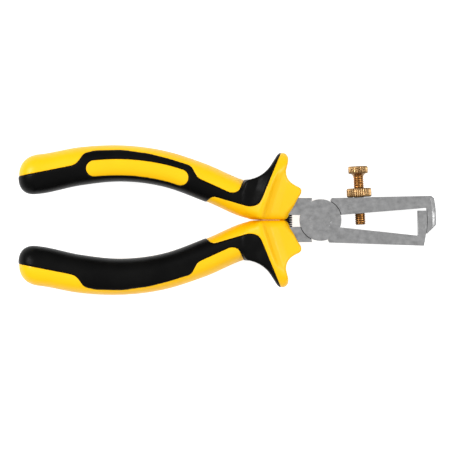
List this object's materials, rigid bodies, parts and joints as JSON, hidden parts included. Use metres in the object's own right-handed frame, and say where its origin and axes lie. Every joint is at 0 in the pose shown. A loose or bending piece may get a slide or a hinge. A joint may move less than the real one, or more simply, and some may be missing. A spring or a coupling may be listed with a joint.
{
  "type": "wire stripper",
  "caption": "End-type wire stripping pliers with notched blades, brass stop screw with lock nut, return spring and two-colour grips.",
  "frame": {"origin": "on the rivet axis, on the outer face of the back lap disc", "axes": "+X towards the jaws, +Y across the tool towards the handle of the front half, +Z along the rivet towards the front lap"},
  "size_m": [0.1599, 0.0574, 0.0212],
  "materials": {
    "steel": "fine ground, satin",
    "spring_steel": "black oxide",
    "brass": "turned, unlacquered",
    "hard_yellow": "smooth moulded",
    "soft_black": "fine matt moulded"
  },
  "bodies": {
    "back": {"back_half": "steel", "rivet": "steel", "spring": "spring_steel", "lower_core": "hard_yellow", "lower_cover": "soft_black", "lower_panel": "hard_yellow"},
    "front": {"front_half": "steel", "upper_core": "hard_yellow", "upper_cover": "soft_black", "upper_panel": "hard_yellow"},
    "stud": {"screw_stud": "brass"},
    "knob": {"screw_head": "brass"},
    "nut": {"lock_nut": "brass"}
  },
  "joints": [
    {"name": "jaw_pivot", "type": "hinge", "parent": "back", "child": "front", "pos_m": [0, 0, 0.0046], "axis": [0, 0, -1], "range_deg": [0, 16], "stiffness_Nm_per_rad": 0.26, "springref_deg": 18.91, "deforming": ["spring"]},
    {"name": "screw_travel", "type": "slide", "parent": "back", "child": "stud", "axis": [-0.0454, 0.999, 0], "range_m": [-0.0014, 0.0042]},
    {"name": "screw_turn", "type": "hinge", "parent": "stud", "child": "knob", "pos_m": [0.01454, 0.01671, 0.0046], "axis": [-0.0454, 0.999, 0], "range_deg": [-721, 2161]},
    {"name": "nut_lift", "type": "slide", "parent": "back", "child": "nut", "axis": [-0.0454, 0.999, 0], "range_m": [0, 0.0025]}
  ],
  "couplings": [
    {"joint": "screw_turn", "follows": "screw_travel", "rad_per_m": 8976}
  ]
}
